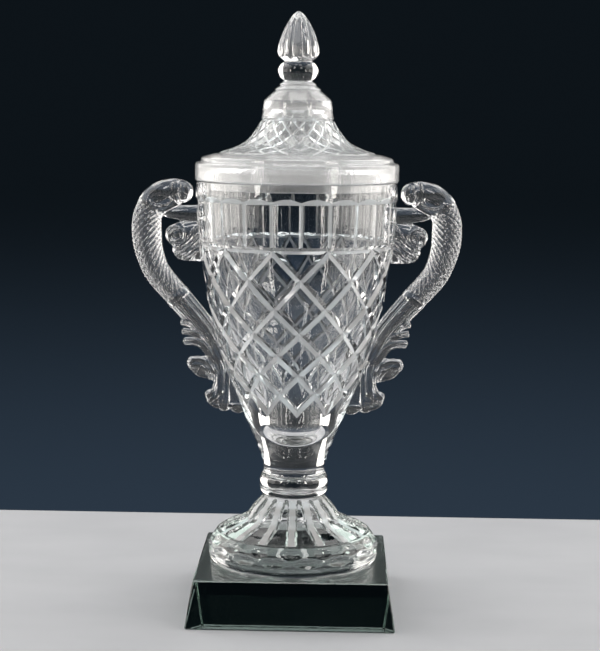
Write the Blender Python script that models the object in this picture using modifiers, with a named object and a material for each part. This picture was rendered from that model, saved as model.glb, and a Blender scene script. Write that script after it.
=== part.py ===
"""Lidded two-handled cut-glass cup trophy on a square plinth.

Metres, +Z up. The origin is the centre of the plinth's underside, the handles lie
along X and the front faces -Y. The bowl, collar, foot, handles, lid and finial are
separate castings held to each other by thin films of clear adhesive. Only the lid
moves: it lifts straight up off the rim with its finial.
"""
import math

import bmesh
import bpy
from mathutils import Matrix, Vector

MM = 0.001

# Driving dimensions
TOTAL_HEIGHT = 440 * MM
PLINTH_BASE = 151 * MM          # side of the square underside
PLINTH_TOP = 140 * MM           # side of the square top
PLINTH_HEIGHT = 34.5 * MM
COLLAR_BASE = 84.8 * MM
COLLAR_TOP = 100.0 * MM
COLLAR_RADIUS = 25.5 * MM
RIM_HEIGHT = 317.2 * MM
RIM_RADIUS = 74.3 * MM
RIM_WALL = 6.6 * MM
CAVITY_FLOOR = 125 * MM
CAVITY_ROUND = 18 * MM          # radius of the cavity's rounded bottom
LID_FLANGE_RADIUS = 66.7 * MM   # spigot that locates the lid inside the rim
LID_FLANGE_DEPTH = 6.5 * MM
KNOP_BASE = 390.2 * MM
KNOP_TOP = 403.4 * MM
KNOP_RADIUS = 14.8 * MM
BUD_BASE = 404.3 * MM
HANDLE_THICKNESS = 18 * MM
LEAF_THICKNESS = 11 * MM
SCROLL_THICKNESS = 15 * MM
GAP = 0.3 * MM                  # clearance between neighbouring solids
FILM = 0.3 * MM                 # thickness of an adhesive film
PLINTH_FILM_RADIUS = 58 * MM
STEM_FILM_RADIUS = 18 * MM
KNOP_FILM_RADIUS = 9 * MM
BUD_FILM_RADIUS = 8 * MM
CHAMFER = 0.8 * MM              # on the plinth's edges

TURN_STEPS = 44
SMALL_STEPS = 28
MERGE = 0.00005

GLASS = {"color": (0.93, 0.95, 0.96), "roughness": 0.03, "alpha": 0.35}
SMOKED_GLASS = {"color": (0.60, 0.66, 0.66), "roughness": 0.03, "alpha": 0.35}
ADHESIVE = {"color": (0.90, 0.92, 0.90), "roughness": 0.15, "alpha": 0.5}

# Radius and height of the bowl's outside, from the rim down to the collar
BOWL_OUTSIDE = [
    (74.3, 303.5), (72.8, 289.5), (71.6, 274.5), (70.9, 263.0), (69.2, 249.5),
    (66.6, 233.5), (62.6, 217.0), (56.8, 195.0), (50.6, 176.5), (41.8, 156.0),
    (37.5, 144.3), (30.5, 128.0), (24.8, 113.6), (22.8, 106.0), (22.6, 100.9),
]
# Radius and height of the cavity, from its rounded bottom up to below the rim
CAVITY_SIDE = [
    (24.4, 157.0), (33.0, 173.0), (42.0, 190.0), (50.0, 208.0), (56.6, 228.0),
    (61.8, 250.0), (64.6, 270.0), (66.3, 292.0),
]
FOOT_OUTSIDE = [
    (22.2, 83.9), (25.8, 79.6), (31.0, 73.6), (34.4, 68.0), (38.8, 64.5), (46.0, 62.0),
    (52.5, 59.4), (57.6, 56.0), (61.8, 51.0), (63.5, 46.0), (63.5, 40.0), (62.3, 36.2),
    (61.4, 35.4),
]
LID_OUTSIDE = [
    (11.2, 389.3), (11.8, 387.6), (14.0, 386.4), (14.3, 383.0), (17.0, 381.2),
    (20.6, 377.2), (24.4, 375.0), (25.3, 370.5), (26.2, 362.2), (29.2, 357.2),
    (32.0, 352.6), (35.6, 348.0), (40.6, 344.0), (48.5, 340.8), (59.0, 337.5),
    (69.4, 334.4), (70.4, 331.2), (73.8, 330.2), (74.7, 329.0), (74.7, 317.5),
]
LID_INSIDE = [
    (62.5, 318.0), (61.5, 325.0), (56.0, 328.8), (46.0, 331.7), (38.5, 335.5),
    (32.0, 340.5), (27.0, 346.5), (23.0, 353.0), (20.0, 360.0), (18.5, 366.0),
    (14.0, 370.0), (7.0, 372.0),
]
BUD_OUTSIDE = [
    (2.6, 438.6), (5.2, 435.4), (8.2, 431.2), (10.6, 427.0), (12.8, 421.8),
    (14.4, 416.4), (15.2, 411.0), (14.4, 408.0), (10.0, 404.3),
]

# Handle outlines in the XZ plane for the +X side. They run into the bowl, which
# trims them. A third value of 1 marks a sharp corner.
ARM_OUTLINE = [
    (66.0, 299.2, 1), (76.0, 299.6), (78.0, 303.5), (78.4, 309.5), (82.0, 316.0),
    (91.0, 318.4), (100.5, 316.2), (110.5, 308.6), (118.2, 297.0), (122.2, 283.0),
    (121.4, 267.5), (115.4, 251.0), (104.0, 234.0), (87.0, 216.2, 1), (80.0, 205.0),
    (66.0, 196.0, 1), (52.0, 196.0, 1), (56.0, 214.5, 1), (64.0, 220.6), (75.0, 232.0),
    (88.0, 246.8), (96.2, 260.0), (99.3, 274.0), (97.6, 285.6), (88.0, 289.0, 1),
    (66.0, 289.0, 1),
]
SCROLL_OUTLINE = [
    (66.0, 292.0, 1), (90.0, 292.0, 1), (96.6, 288.5), (96.4, 280.0), (94.2, 271.5),
    (90.0, 262.2), (84.5, 257.6), (78.0, 257.4, 1), (66.0, 257.4, 1),
]
LEAF_OUTLINE = [
    (52.0, 222.0, 1), (74.0, 222.0, 1), (87.2, 215.8), (87.6, 209.6), (86.8, 203.6),
    (84.8, 196.6), (80.0, 193.8), (74.6, 191.6), (70.8, 189.6, 1), (76.4, 188.2),
    (80.8, 183.6), (78.4, 177.4), (72.6, 170.8), (66.0, 169.2), (61.6, 166.4, 1),
    (64.2, 161.8), (67.4, 157.6), (65.0, 151.6), (58.0, 147.0), (50.0, 148.4, 1),
    (30.0, 148.4, 1), (44.0, 190.0, 1),
]
# Heights covered by a handle's adhesive films, and their widths along Y
UPPER_FILM_SPAN = (259.0, 297.5)
LOWER_FILM_SPAN = (150.5, 216.0)
UPPER_FILM_WIDTH = 10 * MM
LOWER_FILM_WIDTH = 8 * MM


def clear_scene():
    for obj in list(bpy.data.objects):
        bpy.data.objects.remove(obj, do_unlink=True)
    for collection in list(bpy.data.collections):
        bpy.data.collections.remove(collection)


def new_collection(name):
    collection = bpy.data.collections.new(name)
    bpy.context.scene.collection.children.link(collection)
    return collection


def material(name, look):
    """A Principled material with the given colour, roughness and alpha."""
    result = bpy.data.materials.new(name)
    result.use_nodes = True
    shader = result.node_tree.nodes["Principled BSDF"]
    shader.inputs["Base Color"].default_value = (*look["color"], 1.0)
    shader.inputs["Roughness"].default_value = look["roughness"]
    shader.inputs["Metallic"].default_value = 0.0
    shader.inputs["Alpha"].default_value = look["alpha"]
    return result


def add_object(name, mesh, collection, look=None):
    obj = bpy.data.objects.new(name, mesh)
    collection.objects.link(obj)
    if look is not None:
        mesh.materials.clear()
        mesh.materials.append(material(name, look))
    return obj


def evaluated_mesh(obj, name):
    """A copy of the object's mesh with its modifiers applied and its caps welded."""
    bpy.context.view_layer.update()
    depsgraph = bpy.context.evaluated_depsgraph_get()
    mesh = bpy.data.meshes.new_from_object(obj.evaluated_get(depsgraph))
    mesh.name = name
    work = bmesh.new()
    work.from_mesh(mesh)
    bmesh.ops.remove_doubles(work, verts=work.verts, dist=MERGE)
    bmesh.ops.recalc_face_normals(work, faces=work.faces)
    work.to_mesh(mesh)
    work.free()
    return mesh


def scaled(points):
    return [(radius * MM, height * MM) for radius, height in points]


def arc(centre_height, radius, start, end, steps):
    """Points of (radius, height) on a circle centred on the axis, angles in degrees."""
    angles = [math.radians(start + (end - start) * i / steps) for i in range(steps + 1)]
    return [(radius * math.cos(a), centre_height + radius * math.sin(a)) for a in angles]


def turned(name, profile, collection, look=None, steps=TURN_STEPS):
    """A solid of revolution about Z. The profile runs down the outer side."""
    mesh = bpy.data.meshes.new(name)
    points = [(radius, 0.0, height) for radius, height in profile]
    mesh.from_pydata(points, [(i, i + 1) for i in range(len(points) - 1)], [])
    obj = add_object(name, mesh, collection, look)
    screw = obj.modifiers.new("Turn", "SCREW")
    screw.axis = "Z"
    screw.angle = 2 * math.pi
    screw.steps = steps
    screw.render_steps = steps
    screw.use_merge_vertices = True
    screw.merge_threshold = MERGE
    screw.use_smooth_shade = True
    return obj


def disc(name, radius, base, collection):
    """An adhesive film: a thin round disc with its underside at the height base."""
    work = bmesh.new()
    bmesh.ops.create_cone(work, cap_ends=True, segments=SMALL_STEPS, radius1=radius,
                          radius2=radius, depth=FILM)
    mesh = bpy.data.meshes.new(name)
    work.to_mesh(mesh)
    work.free()
    obj = add_object(name, mesh, collection, ADHESIVE)
    obj.location = (0.0, 0.0, base + FILM / 2)
    return obj


def boolean(obj, cutter, operation):
    modifier = obj.modifiers.new(cutter.name, "BOOLEAN")
    modifier.operation = operation
    modifier.solver = "EXACT"
    modifier.object = cutter


def as_cutter(obj):
    obj.hide_render = True
    obj.display_type = "WIRE"
    return obj


def outline_solid(name, outline, thickness, collection):
    """The outline in the XZ plane, extruded along Y to the thickness."""
    curve = bpy.data.curves.new(name, "CURVE")
    curve.dimensions = "2D"
    curve.fill_mode = "BOTH"
    curve.extrude = thickness / 2
    curve.resolution_u = 3
    spline = curve.splines.new("BEZIER")
    spline.bezier_points.add(len(outline) - 1)
    spline.use_cyclic_u = True
    for point, values in zip(spline.bezier_points, outline):
        point.co = (values[0] * MM, values[1] * MM, 0.0)
        kind = "VECTOR" if len(values) == 3 else "AUTO"
        point.handle_left_type = kind
        point.handle_right_type = kind
    guide = bpy.data.objects.new(name + "_outline", curve)
    collection.objects.link(guide)
    guide.rotation_euler = (math.pi / 2, 0.0, 0.0)
    mesh = evaluated_mesh(guide, name)
    mesh.transform(guide.matrix_world)
    bpy.data.objects.remove(guide, do_unlink=True)
    return as_cutter(add_object(name, mesh, collection))


def box(name, low, high, collection):
    """A block between two opposite corners."""
    work = bmesh.new()
    bmesh.ops.create_cube(work, size=1.0)
    size = Vector(high) - Vector(low)
    centre = (Vector(high) + Vector(low)) / 2
    bmesh.ops.transform(work, verts=work.verts,
                        matrix=Matrix.Translation(centre) @ Matrix.Diagonal((*size, 1.0)))
    mesh = bpy.data.meshes.new(name)
    work.to_mesh(mesh)
    work.free()
    return add_object(name, mesh, collection)


def bowl_outside(offset):
    """The bowl's outer profile from the rim down, moved out by the offset."""
    side = [(RIM_RADIUS, RIM_HEIGHT)] + scaled(BOWL_OUTSIDE)
    return [(radius + offset, height) for radius, height in side]


def bowl_envelope(name, offset, collection):
    """A solid that fills the bowl's outer shape with the offset, to trim what meets it."""
    profile = [(0.0, RIM_HEIGHT)] + bowl_outside(offset)
    profile.append((0.0, profile[-1][1]))
    return as_cutter(turned(name, profile, collection))


def make_plinth(collection):
    """A square block whose sides slope in to the top, with fine chamfered edges."""
    work = bmesh.new()
    diagonal = math.sqrt(0.5)
    bmesh.ops.create_cone(work, cap_ends=True, segments=4, depth=PLINTH_HEIGHT,
                          radius1=PLINTH_BASE * diagonal, radius2=PLINTH_TOP * diagonal,
                          matrix=Matrix.Rotation(math.pi / 4, 4, "Z"))
    mesh = bpy.data.meshes.new("plinth")
    work.to_mesh(mesh)
    work.free()
    obj = add_object("plinth", mesh, collection, SMOKED_GLASS)
    obj.location = (0.0, 0.0, PLINTH_HEIGHT / 2)
    bevel = obj.modifiers.new("Chamfer", "BEVEL")
    bevel.width = CHAMFER
    bevel.segments = 1
    return obj


def make_foot(collection):
    profile = [(0.0, FOOT_OUTSIDE[0][1] * MM)] + scaled(FOOT_OUTSIDE)
    profile.append((0.0, FOOT_OUTSIDE[-1][1] * MM))
    return turned("foot", profile, collection, GLASS)


def make_collar(collection):
    """A barrel-shaped ring of solid glass."""
    middle = (COLLAR_BASE + COLLAR_TOP) / 2
    half = (COLLAR_TOP - COLLAR_BASE) / 2
    profile = [(0.0, COLLAR_TOP)]
    for i in range(7):
        height = COLLAR_TOP - 2 * half * i / 6
        swell = math.sqrt(1 - 0.3 * ((height - middle) / half) ** 2)
        profile.append((COLLAR_RADIUS * swell, height))
    profile.append((0.0, COLLAR_BASE))
    return turned("stem_collar", profile, collection, GLASS, SMALL_STEPS)


def make_bowl(collection):
    """The cup: a thick wall round a cavity with a hemispherical bottom."""
    centre = CAVITY_FLOOR + CAVITY_ROUND
    floor = arc(centre, CAVITY_ROUND, -90, -6, 6)
    floor[0] = (0.0, CAVITY_FLOOR)
    cavity = floor + scaled(CAVITY_SIDE) + [(RIM_RADIUS - RIM_WALL, RIM_HEIGHT)]
    outside = bowl_outside(0.0)
    return turned("bowl", cavity + outside + [(0.0, outside[-1][1])], collection, GLASS)


def make_handles(collection, cutters):
    """Both handles, each a half turn of the other, trimmed to the bowl's outside."""
    envelope = bowl_envelope("handle_trim", 2 * GAP + FILM, cutters)
    arm = outline_solid("handle_arm", ARM_OUTLINE, HANDLE_THICKNESS, cutters)
    scroll = outline_solid("handle_scroll", SCROLL_OUTLINE, SCROLL_THICKNESS, cutters)
    leaf = outline_solid("handle_leaf", LEAF_OUTLINE, LEAF_THICKNESS, cutters)
    boolean(arm, scroll, "UNION")
    boolean(arm, leaf, "UNION")
    boolean(arm, envelope, "DIFFERENCE")
    mesh = evaluated_mesh(arm, "handle")
    return place_pair("handle", mesh, collection, GLASS)


def make_handle_bonds(collection, cutters):
    """The adhesive films between the handles and the bowl, upper and lower on each side."""
    inner = bowl_envelope("film_inside", GAP, cutters)
    outer = bowl_envelope("film_outside", GAP + FILM, cutters)
    for place, span, width in (("upper", UPPER_FILM_SPAN, UPPER_FILM_WIDTH),
                               ("lower", LOWER_FILM_SPAN, LOWER_FILM_WIDTH)):
        low = (25 * MM, -width / 2, span[0] * MM)
        high = (85 * MM, width / 2, span[1] * MM)
        block = as_cutter(box("film_" + place, low, high, cutters))
        boolean(block, outer, "INTERSECT")
        boolean(block, inner, "DIFFERENCE")
        mesh = evaluated_mesh(block, "handle_bond_" + place)
        place_pair("handle_bond_" + place, mesh, collection, ADHESIVE)


def place_pair(name, mesh, collection, look):
    """Two objects with one mesh: the right one as built, the left one half a turn round."""
    right = add_object(name + "_right", mesh, collection, look)
    left = bpy.data.objects.new(name + "_left", mesh.copy())
    collection.objects.link(left)
    left.data.materials.clear()
    left.data.materials.append(material(name + "_left", look))
    left.rotation_euler = (0.0, 0.0, math.pi)
    return right, left


def make_lid(collection):
    """A hollow domed lid with a spigot that drops inside the rim."""
    seat = LID_OUTSIDE[-1][1] * MM
    spigot_end = seat - LID_FLANGE_DEPTH
    inside = scaled(LID_INSIDE)
    profile = [(0.0, LID_OUTSIDE[0][1] * MM)] + scaled(LID_OUTSIDE)
    profile += [(LID_FLANGE_RADIUS, seat), (LID_FLANGE_RADIUS, spigot_end)]
    profile += [(inside[0][0], spigot_end)] + inside + [(0.0, inside[-1][1] + 0.6 * MM)]
    return turned("lid", profile, collection, GLASS)


def make_knop(collection):
    """The smooth ball under the finial bud, flattened where it meets its neighbours."""
    middle = KNOP_BASE + 0.52 * (KNOP_TOP - KNOP_BASE)
    reach = 9.4 * MM
    profile = [(0.0, KNOP_TOP)]
    for i in range(9):
        height = KNOP_TOP + (KNOP_BASE - KNOP_TOP) * i / 8
        profile.append((KNOP_RADIUS * math.sqrt(1 - ((height - middle) / reach) ** 2), height))
    profile.append((0.0, KNOP_BASE))
    return turned("finial_knop", profile, collection, GLASS, SMALL_STEPS)


def make_bud(collection):
    profile = [(0.0, TOTAL_HEIGHT)] + scaled(BUD_OUTSIDE) + [(0.0, BUD_BASE)]
    return turned("finial_bud", profile, collection, GLASS, SMALL_STEPS)


def main():
    clear_scene()
    parts = new_collection("cup_trophy")
    cutters = new_collection("cutters")
    make_plinth(parts)
    disc("plinth_bond", PLINTH_FILM_RADIUS, PLINTH_HEIGHT + GAP, parts)
    make_foot(parts)
    disc("foot_bond", STEM_FILM_RADIUS, COLLAR_BASE - GAP - FILM, parts)
    make_collar(parts)
    disc("collar_bond", STEM_FILM_RADIUS, COLLAR_TOP + GAP, parts)
    make_bowl(parts)
    make_handles(parts, cutters)
    make_handle_bonds(parts, cutters)
    lifted = [
        make_lid(parts),
        disc("knop_bond", KNOP_FILM_RADIUS, KNOP_BASE - GAP - FILM, parts),
        make_knop(parts),
        disc("bud_bond", BUD_FILM_RADIUS, KNOP_TOP + GAP, parts),
        make_bud(parts),
    ]
    lift = bpy.data.objects.new("lid_lift", None)
    parts.objects.link(lift)
    for obj in lifted:
        obj.parent = lift


main()
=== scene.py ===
"""Looks for the lidded cut-glass cup trophy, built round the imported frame.

Metres, +Z up, the handles along X and the front facing -Y. Every casting of the
trophy gets its cut or moulded surface here and replaces its plain CAD solid.
"""
import math

import bmesh
import bpy
import numpy as np
from mathutils import Matrix, Vector


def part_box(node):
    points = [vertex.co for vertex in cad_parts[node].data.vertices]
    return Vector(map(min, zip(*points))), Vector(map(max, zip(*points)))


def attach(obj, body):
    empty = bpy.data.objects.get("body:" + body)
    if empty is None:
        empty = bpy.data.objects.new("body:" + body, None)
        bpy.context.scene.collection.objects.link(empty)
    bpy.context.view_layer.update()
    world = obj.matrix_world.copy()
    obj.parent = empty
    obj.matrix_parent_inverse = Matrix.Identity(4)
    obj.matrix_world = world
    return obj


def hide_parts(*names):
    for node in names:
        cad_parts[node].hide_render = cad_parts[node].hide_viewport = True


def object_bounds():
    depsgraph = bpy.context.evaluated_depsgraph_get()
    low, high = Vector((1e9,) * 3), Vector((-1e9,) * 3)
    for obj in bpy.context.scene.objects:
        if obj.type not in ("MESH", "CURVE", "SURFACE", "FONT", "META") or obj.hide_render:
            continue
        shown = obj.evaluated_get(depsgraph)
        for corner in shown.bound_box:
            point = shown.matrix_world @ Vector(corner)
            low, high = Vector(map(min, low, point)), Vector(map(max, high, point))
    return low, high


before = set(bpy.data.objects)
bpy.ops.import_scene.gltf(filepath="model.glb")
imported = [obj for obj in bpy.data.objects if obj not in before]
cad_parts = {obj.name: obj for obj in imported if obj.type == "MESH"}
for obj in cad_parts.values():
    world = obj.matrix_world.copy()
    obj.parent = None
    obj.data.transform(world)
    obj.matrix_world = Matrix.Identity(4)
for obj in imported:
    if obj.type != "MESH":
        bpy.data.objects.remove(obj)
CAD_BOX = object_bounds()

MM = 0.001

# ---------------------------------------------------------------- measures
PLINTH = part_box("plinth")
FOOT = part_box("foot")
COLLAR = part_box("stem_collar")
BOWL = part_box("bowl")
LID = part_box("lid")
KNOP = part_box("finial_knop")
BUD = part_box("finial_bud")
OVERLAP = 0.06 * MM          # how far bonded castings run into each other

ROUND_SEGMENTS = 176
FLATNESS = 0.6               # of a diamond: 0 follows the turned body, 1 is a flat facet
FACET_STEPS = 4              # divisions along a diamond's side

# Bowl
COLUMNS = 11                 # diamonds round the bowl
PANELS = 2 * COLUMNS         # flat panels round the bowl
BOWL_TURN = 4.0              # degrees the cut pattern is turned from the front
BOWL_GROOVE = (6.0 * MM, 2.1 * MM)      # width and depth
RIM_TOP = BOWL[1][2]
RIM_RADIUS = 74.3 * MM
RIM_WALL = 6.6 * MM
LIP = 0.5 * MM
BAND_BOTTOM = 304.6 * MM     # at the corners of the panels' arched tops
ARCH_RISE = 2.4 * MM
PANEL_TOP = 303.0 * MM
PANEL_SUNK = 0.9 * MM        # at the top; the panels come out to the body lower down
PANEL_BOTTOM = 273.4 * MM
MITRE = (1.15, 0.7 * MM)     # between panels: half width in degrees, and depth
BOWL_ROWS = (271, 250, 229.2, 211.3, 195.1, 180.4, 165.8, 152)
CAVITY_FLOOR = 125 * MM
NECK_END = 101.6 * MM        # the neck rounds in to the collar below this
NECK_ROUND = 0.8 * MM
NECK_RADII = (22.9 * MM, 22.2 * MM)

# Lid
LID_COLUMNS = 20
LID_GROOVE = (2.3 * MM, 0.9 * MM)
LID_ROWS = (361.8, 356.3, 351, 346.3, 342.8, 340.3, 338)
LID_SEAT = 317.5 * MM
SPIGOT_RADII = (66.7 * MM, 62.5 * MM)

# Height and radius of turned bodies, in millimetres
BOWL_BODY = (
    (100.9, 22.6), (106, 22.8), (113.6, 24.8), (128, 30.5), (144.3, 37.5),
    (156, 41.8), (176.5, 50.6), (195, 56.8), (217, 62.6), (233.5, 66.6),
    (249.5, 69.2), (263, 70.9), (274.5, 71.6), (289.5, 72.8), (303.5, 73.9),
    (317.2, 74.3),
)
CAVITY_BODY = (
    (146, 20.6), (152, 21.6), (160, 24.6), (168, 29), (178, 35),
    (190, 41.6), (208, 49.8),
    (228, 56.6), (250, 61.8), (270, 64.6), (292, 66.3), (316, 67.7),
)
LID_COVE = (
    (334.4, 69.4), (337.5, 59), (340.8, 48.5), (344, 40.6), (348, 35.6),
    (352.6, 32), (357.2, 29.2), (362.2, 26.2), (364, 25.9),
)
# Radius and height down the lid and the collar, in millimetres
LID_NECK = (
    (10.6, 389.3), (11.4, 389), (12.9, 387.9), (13.6, 387.3), (12.9, 386.7),
    (13.6, 386), (14.8, 385.4), (16.4, 384.2), (16.9, 383.7), (16.3, 383),
    (17, 382.4), (18, 381.8), (19.8, 380.2), (21.7, 378.4), (23.3, 377),
    (24.4, 375.8), (24.9, 374), (25.3, 370.5), (25.6, 366.8), (26.1, 364),
    (26.6, 363),
)
LID_SHOULDER = (
    (59.4, 336.9), (60.6, 337), (64, 336), (69.2, 334.4), (70.2, 333.6),
    (70.5, 331.6), (71.4, 331), (73.6, 330.5), (74.5, 329.7), (74.7, 328.6),
    (74.7, 318.4), (74.2, 317.6), (73.4, LID_SEAT / MM),
)
# and back up the inside: the lower part is frosted, the dome polished
LID_INSIDE = (
    (62.4, 318.5), (61.6, 324), (59.5, 327.2), (56, 329), (51, 330.4),
    (46, 331.7), (42, 333.4), (38.5, 335.5), (35, 338), (32, 340.5),
    (29.3, 343.4),
)
LID_DOME = (
    (27, 346.5), (24.9, 349.7), (23, 353), (21.3, 356.6),
    (20, 360), (19.2, 363), (18.4, 366), (16.6, 368.6), (14, 370.4),
    (10.6, 371.6), (7, 372.2), (3, 372.5),
)
COLLAR_BODY = (
    (22.6, 100), (23.6, 99.6), (24.6, 98.5), (25.2, 96.8), (25.5, 94.6), (25.5, 92.2),
    (25.5, 89.9), (25.2, 87.8), (24.5, 86.1), (23.5, 85), (22.6, 84.4),
    (21.9, (FOOT[1][2] - OVERLAP) / MM),
)
# Height and radius of the foot's bell and of the band under it
FOOT_BELL = (
    (56, 57.6), (59.4, 52), (62, 45.4), (64.5, 39.6), (68, 34.9), (73.6, 31),
    (79.6, 25.8), (83.9, 22.2),
)
FOOT_BAND = (
    (35.4, 61), (35.8, 61.9), (36.6, 62.5), (38.2, 63), (40, 63.2), (41.4, 63.1),
    (42.4, 63.2), (44, 63.4), (46, 63.4), (47.6, 63), (49.2, 62.1), (50.4, 61.2),
    (53, 59.7), (56, 57.6),
)


# ---------------------------------------------------------------- helpers
def curve_through(points, x):
    """The value at x of a smooth curve through (x, value) points, without overshoot."""
    if x <= points[0][0]:
        return points[0][1]
    if x >= points[-1][0]:
        return points[-1][1]
    slopes = [(after[1] - before[1]) / (after[0] - before[0])
              for before, after in zip(points, points[1:])]
    tangents = [slopes[0]]
    for before, after in zip(slopes, slopes[1:]):
        tangents.append(0.0 if before * after <= 0 else 2 * before * after / (before + after))
    tangents.append(slopes[-1])
    i = next(k for k in range(len(slopes)) if x <= points[k + 1][0])
    width = points[i + 1][0] - points[i][0]
    t = (x - points[i][0]) / width
    return ((1 + 2 * t) * (1 - t) ** 2 * points[i][1] + t * (1 - t) ** 2 * width * tangents[i]
            + t * t * (3 - 2 * t) * points[i + 1][1] + t * t * (t - 1) * width * tangents[i + 1])


def radius_along(body):
    """A turned body's radius as a function of height, both in metres."""
    return lambda height: curve_through(body, height / MM) * MM


bowl_radius = radius_along(BOWL_BODY)


def smooth_step(low, high, value):
    t = min(1.0, max(0.0, (value - low) / (high - low)))
    return t * t * (3 - 2 * t)


def polar(radius, degrees, height):
    """A point at an angle from the front (-Y), turning towards +X."""
    angle = math.radians(degrees)
    return Vector((radius * math.sin(angle), -radius * math.cos(angle), height))


def in_metres(points):
    return [(radius * MM, height * MM) for radius, height in points]


def between(start, end, steps):
    return [start + (end - start) * i / steps for i in range(steps + 1)]


# A face's finish, and its place among the piece's materials
POLISHED, GROUND, SATIN = 0, 1, 2


class Shell:
    """Faces listed by their corner points; equal points become one vertex."""

    GRAIN = 0.5e-6

    def __init__(self):
        self.points = []
        self.index = {}
        self.faces = []
        self.finishes = []
        self.finish = POLISHED

    def vertex(self, point):
        key = tuple(round(value / self.GRAIN) for value in point)
        if key not in self.index:
            self.index[key] = len(self.points)
            self.points.append(tuple(point))
        return self.index[key]

    def face(self, *points):
        corners = []
        for point in points:
            number = self.vertex(point)
            if number not in corners:
                corners.append(number)
        if len(corners) > 2:
            self.faces.append(corners)
            self.finishes.append(self.finish)

    def ring(self, radius, height, segments=ROUND_SEGMENTS, turn=BOWL_TURN):
        return [polar(radius, turn + 360 * i / segments, height) for i in range(segments)]

    def band(self, upper, lower):
        """Quads between two rings of equal count, facing away from the axis."""
        for i in range(len(upper)):
            j = (i + 1) % len(upper)
            self.face(upper[i], lower[i], lower[j], upper[j])

    def skin(self, rings):
        """Bands down a list of rings."""
        for upper, lower in zip(rings, rings[1:]):
            self.band(upper, lower)

    def turned(self, profile, segments=ROUND_SEGMENTS, turn=BOWL_TURN):
        """Bands down a profile of (radius, height) whose outer side runs downward."""
        rings = [self.ring(radius, height, segments, turn) for radius, height in profile]
        self.skin(rings)
        return rings

    def cap(self, ring, up):
        self.face(*(ring if up else reversed(ring)))

    def close(self, rings):
        """Caps on the first and the last ring."""
        self.cap(rings[0], up=True)
        self.cap(rings[-1], up=False)

    def mesh(self, name):
        mesh = bpy.data.meshes.new(name)
        mesh.from_pydata(self.points, [], self.faces)
        mesh.polygons.foreach_set("material_index", self.finishes)
        mesh.validate()
        return mesh

    def piece(self, name):
        return add_object(name, self.mesh(name))


def add_object(name, data):
    added = bpy.data.objects.new(name, data)
    bpy.context.scene.collection.objects.link(added)
    return added


def bake(piece):
    """The piece's mesh with its modifiers applied. The piece itself is removed."""
    bpy.context.view_layer.update()
    depsgraph = bpy.context.evaluated_depsgraph_get()
    mesh = bpy.data.meshes.new_from_object(piece.evaluated_get(depsgraph))
    bpy.data.objects.remove(piece, do_unlink=True)
    return mesh


FLAT_FACE_WEIGHT = 80        # how far large faces keep their own direction, of 100


def soften(piece, width, angle, segments=2):
    """Small rounded edges wherever faces meet more sharply than the angle in degrees."""
    bevel = piece.modifiers.new("Edges", "BEVEL")
    bevel.width = width
    bevel.segments = segments
    bevel.limit_method = "ANGLE"
    bevel.angle_limit = math.radians(angle)
    bevel.use_clamp_overlap = True
    piece.data.shade_smooth()
    normals = piece.modifiers.new("Normals", "WEIGHTED_NORMAL")
    normals.keep_sharp = True
    normals.weight = FLAT_FACE_WEIGHT
    return piece


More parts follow.
